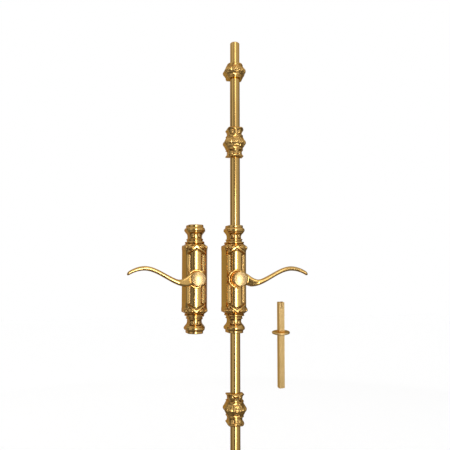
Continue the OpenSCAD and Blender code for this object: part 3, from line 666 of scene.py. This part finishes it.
def knop_relief(bearing, height, radius, half):
    # Eight flat faces, each a framed tablet with a six-petalled flower.
    face_turn, face_share, end_early, end_blend = 45, 0.955, 2.0, 1.8
    face = (bearing + face_turn / 2) % face_turn - face_turn / 2
    on_knop = 1 - ease((np.abs(height) - half + end_early) / end_blend)
    flat = (face_share / np.cos(np.radians(face)) - 1) * radius * on_knop
    across = np.radians(face) * knop_r
    tablet_half, tablet_drop, frame_rise, frame_wide = 4.5, 4.4, 0.4, 1.0
    sink_deep, sink_at, sink_wide = 0.7, 1.9, 1.1
    past = np.maximum(np.abs(across) - tablet_half, np.abs(height) - half + tablet_drop)
    tablet = (frame_rise * bump(past, frame_wide) - sink_deep * bump(past - sink_at, sink_wide)) * on_knop
    petal_rise, petal_at, petal_wide, petal_low, petal_full = 0.5, 1.9, 1.3, 0.35, 0.65
    heart_rise, heart_r, edge_deep, edge_at, edge_wide = 0.6, 1.0, 0.5, 3.5, 0.7
    off, petal = np.hypot(across, height), np.arctan2(height, across)
    flower = petal_rise * bump(off - petal_at, petal_wide) * (petal_low + petal_full * np.cos(3 * petal) ** 2)
    flower = flower + heart_rise * bump(off, heart_r) - edge_deep * bump(off - edge_at, edge_wide)
    return flat, tablet + flower


def guide_hollow(carve, radius):
    # Painted shade where the carving and the mouldings leave hollows.
    full_depth, carve_share, moulding_share = 1.1, 0.6, 0.7
    return np.clip(-carve / full_depth, 0, 1) * carve_share + moulding_share * sunk(radius)


def flared_relief(bearing, height, radius):
    # The knop, round leaves on the flares with a spine between them, and rims drawn out into lobes.
    flat, carve = knop_relief(bearing, height, radius, knop_half)
    turn, level = np.abs(bearing), np.abs(height)
    leaf_at, leaf_turn, leaf_size = 17.6, 42, 4.3
    spine_rise, spine_wide, spine_tall = 0.6, 1.7, 5.0
    leaves = medallion(np.radians(turn - leaf_turn) * guide_neck_r, level - leaf_at, leaf_size)
    spine_off = np.hypot(np.radians(turn) * guide_neck_r / spine_wide, (level - leaf_at) / spine_tall)
    carve = carve + leaves + spine_rise * bump(spine_off, 1)
    lobe_lift, rim_sink, lobe_bulge, bulge_tall = 2.4, 2.0, 0.8, 3.0
    rim_start, rim_blend = 3.0, 5.0
    lobe = np.sin(np.radians(2 * turn)) ** 2
    near_rim = ease((level - flare_at - rim_start) / rim_blend)
    lift = np.sign(height) * (lobe_lift * lobe - rim_sink) * near_rim
    bulge = lobe_bulge * lobe * bump(level - flared_half + rim_drop, bulge_tall)
    return flat + carve + bulge, lift, guide_hollow(carve, radius)


def short_relief(bearing, height, radius):
    flat, carve = knop_relief(bearing, height, radius, short_knop)
    return flat + carve, 0, guide_hollow(carve, radius)


def guide_draft(radius):
    side_slope = 0.3
    return np.full_like(radius, side_slope)


def make_guides(half_outline, relief, *guides):
    # Two guides from one pattern, bored for the rod and drilled for their two bolts.
    guide_soft, guide_turn, guide_columns = 0.28, 90, 136
    outline = both_halves(even_outline(half_outline, outline_step, guide_soft))
    pattern = moulding("pattern", outline, relief, guide_draft, guide_turn, guide_columns)
    holes = [drill("bolt_hole", side * bolt_x, 0, bolt_r, bolt_deep) for side in (-1, 1)]
    machine(pattern, [rod_bore(flared_half + behind)] + holes)
    for node in guides:
        at = sum(corner[2] for corner in reach(node)) / 2
        piece = again(node + "_casting", pattern, Matrix.Translation((0, 0, at * MM)))
        finish_piece(piece, "fixed", cast_brass, node)
    bpy.data.objects.remove(pattern)


make_guides(short_outline, short_relief, "top_guide", "bottom_guide")
make_guides(flared_outline, flared_relief, "upper_guide", "lower_guide")

# The levers are cast in one with their round heads, which run out like a drop into a waved arm with
# a rounded tip. The head's face is brushed and painted paler as a sheen. Each is held on its sleeve by a grub
# screw from below.
lever_low, lever_high = reach("lever")
head_r, lever_len, head_back, head_front = -lever_low[0], lever_high[0], -lever_high[1], -lever_low[1]
head_dome, head_edge, head_chamfer, head_steps = 2.0, 1.8, 0.8, 96
dome_r = (head_r ** 2 + head_dome ** 2) / (2 * head_dome)
dome = [(dome_r * math.sin(a), head_front - dome_r + dome_r * math.cos(a))
        for a in np.linspace(math.asin((head_r - head_edge) / dome_r), 0, 14)]
edge = arc(head_r - head_edge, dome[0][1] - head_edge, head_edge, 0, 70, 8)
head_outline = [(0, head_back), (head_r - head_chamfer, head_back), (head_r, head_back + head_chamfer)]
lever = turned("lever_casting", head_outline + edge + dome, head_steps)

# The arm's middle line falls to a dip beside the head, climbs to a crest and droops to the tip
arm_tall, arm_deep, arm_back, arm_steps = 8.6, 11.0, 6.67, 110
tip_tall, tip_deep, tip_round, tip_steps, tip_first = 6.0, 9.0, 3.2, 12, 0.1
dip_at, dip, crest_at, crest, tip_fall = 18.0, 7.3, 80.0, 16.0, 9.0
arm_x = np.concatenate([
    np.linspace(0, lever_len - tip_round, arm_steps),
    lever_len - tip_round * (1 - np.sin(np.linspace(tip_first, 1, tip_steps) * math.pi / 2))])
to_dip = -dip * ease(arm_x / dip_at)
to_crest = -dip + (crest + dip) * ease((arm_x - dip_at) / (crest_at - dip_at))
to_tip = crest - tip_fall * ((arm_x - crest_at) / (lever_len - crest_at)) ** 2
wave = np.where(arm_x < dip_at, to_dip, np.where(arm_x < crest_at, to_crest, to_tip))

# Its upper edge leaves the head in a longer curve than its lower edge, and its front rises along the neck
root_inset, root_deep, neck_len = 0.6, 15.0, 33.0
neck_start, neck_end, neck_rise, neck_curve = 7.0, 29.0, 6.2, 1.15
root_tall = 2 * head_r - root_inset
root, neck = 1 - ease(arm_x / dip_at), 1 - ease(arm_x / neck_len)
run = np.clip((arm_x - dip_at) / (lever_len - dip_at), 0, 1)
arm_half = (arm_tall + (tip_tall - arm_tall) * run) / 2
upper_edge = (wave + arm_half) * (1 - neck) + root_tall / 2 * neck
lower_edge = (wave - arm_half) * (1 - root) - root_tall / 2 * root
centre, tall = (upper_edge + lower_edge) / 2, upper_edge - lower_edge
deep = arm_deep + (tip_deep - arm_deep) * run + (root_deep - arm_deep) * root
arm_front = head_front - arm_back + arm_deep / 2
to_arm = np.clip((neck_end - arm_x) / (neck_end - neck_start), 0, 1)
middle = arm_front - neck_rise * to_arm ** neck_curve - deep / 2

# Its section is nearly an ellipse, squarer towards the head, and closes at the tip
section_steps, oval, squarer, tip_close = 48, 0.95, 0.62, 0.01
past_tip = np.maximum(arm_x - lever_len + tip_round, 0) / tip_round
taper = np.sqrt(np.clip(1 - past_tip ** 2, tip_close, 1))
round_about = np.linspace(0, 2 * math.pi, section_steps, endpoint=False)
square_off = (oval - squarer * neck)[:, None]
across = np.sign(np.cos(round_about)) * np.abs(np.cos(round_about)) ** square_off
upward = np.sign(np.sin(round_about)) * np.abs(np.sin(round_about)) ** square_off
arm_points = np.stack([
    arm_x[:, None] + 0 * across,
    -middle[:, None] + (taper * deep / 2)[:, None] * across,
    centre[:, None] + (taper * tall / 2)[:, None] * upward], -1)
arm_last = (len(arm_x) - 1) * section_steps
arm_caps = [tuple(range(section_steps)), tuple(range(arm_last, arm_last + section_steps))]
arm_faces = grid_faces(len(arm_x), section_steps, closed=True) + arm_caps
arm = plain_mesh("arm", arm_points.reshape(-1, 3), arm_faces)
close_up(arm)

# Head and arm become one casting, smoothed where they meet
cast_grain, polish_share, polish_rounds = 0.45, 0.5, 14
work = bmesh.new()
work.from_mesh(lever.data)
work.from_mesh(arm.data)
work.to_mesh(lever.data)
work.free()
bpy.data.objects.remove(arm)
cast = lever.modifiers.new("cast", "REMESH")
cast.mode, cast.voxel_size = "VOXEL", cast_grain * MM
polish = lever.modifiers.new("polish", "SMOOTH")
polish.factor, polish.iterations = polish_share, polish_rounds
shaped(lever)
sleeve_low, sleeve_high = reach("drive_sleeve")
sleeve_r, sleeve_front = sleeve_high[0], -sleeve_low[1]
grub_low, grub_high = reach("lever_grub_screw")
grub_r, grub_at, grub_steps = (grub_high[0] - grub_low[0]) / 2, -(grub_low[1] + grub_high[1]) / 2, 40
hole_start = head_back - behind
sleeve_hole = [(0, hole_start), (sleeve_r, hole_start), (sleeve_r, sleeve_front), (0, sleeve_front)]
grub_section = ring_of(grub_r, grub_steps, y=-grub_at)
machine(lever, [turned("sleeve_hole", sleeve_hole),
                column("grub_hole", grub_section, -head_r - behind, -sleeve_r / 2)])

# The head's face is brushed to a satin and painted paler as a sheen, and the arm a little
face_depth, face_blend, face_inset, face_edge = 1.0, 1.2, 1.8, 1.6
arm_satin_and_sheen, arm_satin_and_sheen_blend = 0.25, 10.0
spots = np.array([point.co for point in lever.data.vertices]) / MM
off_axis = np.hypot(spots[:, 0], spots[:, 2])
on_face = ease((-spots[:, 1] - head_front + head_dome + face_depth) / face_blend)
on_face = on_face * (1 - ease((off_axis - head_r + face_inset) / face_edge))
mark_points(lever, "satin_and_sheen", on_face + arm_satin_and_sheen * ease((off_axis - neck_end) / arm_satin_and_sheen_blend))
outside_lever = again("outside_lever_casting", lever,
                      Matrix.Diagonal((-1, 1, 1, 1)), Matrix.Translation((outside_x * MM, 0, 0)))
close_up(outside_lever)
finish_piece(lever, "lever_drive", cast_brass, "lever")
finish_piece(outside_lever, "outside_drive", cast_brass, "outside_lever")

# The loose spindle is a square brass bar with a saw cut in its short end and a round collar,
# and lies beside the bolt. Its faces are drawn and left dull.
bar_brass = metal("bar_brass", (0.90, 0.63, 0.29), (0.72, 0.49, 0.19), (0.2, 0.095, 0.016),
                  rough=0.34, grain=500.0, stretch=(1, 1, 0.05))
keep_shape(bar_brass, "spindle", "spindle_collar")
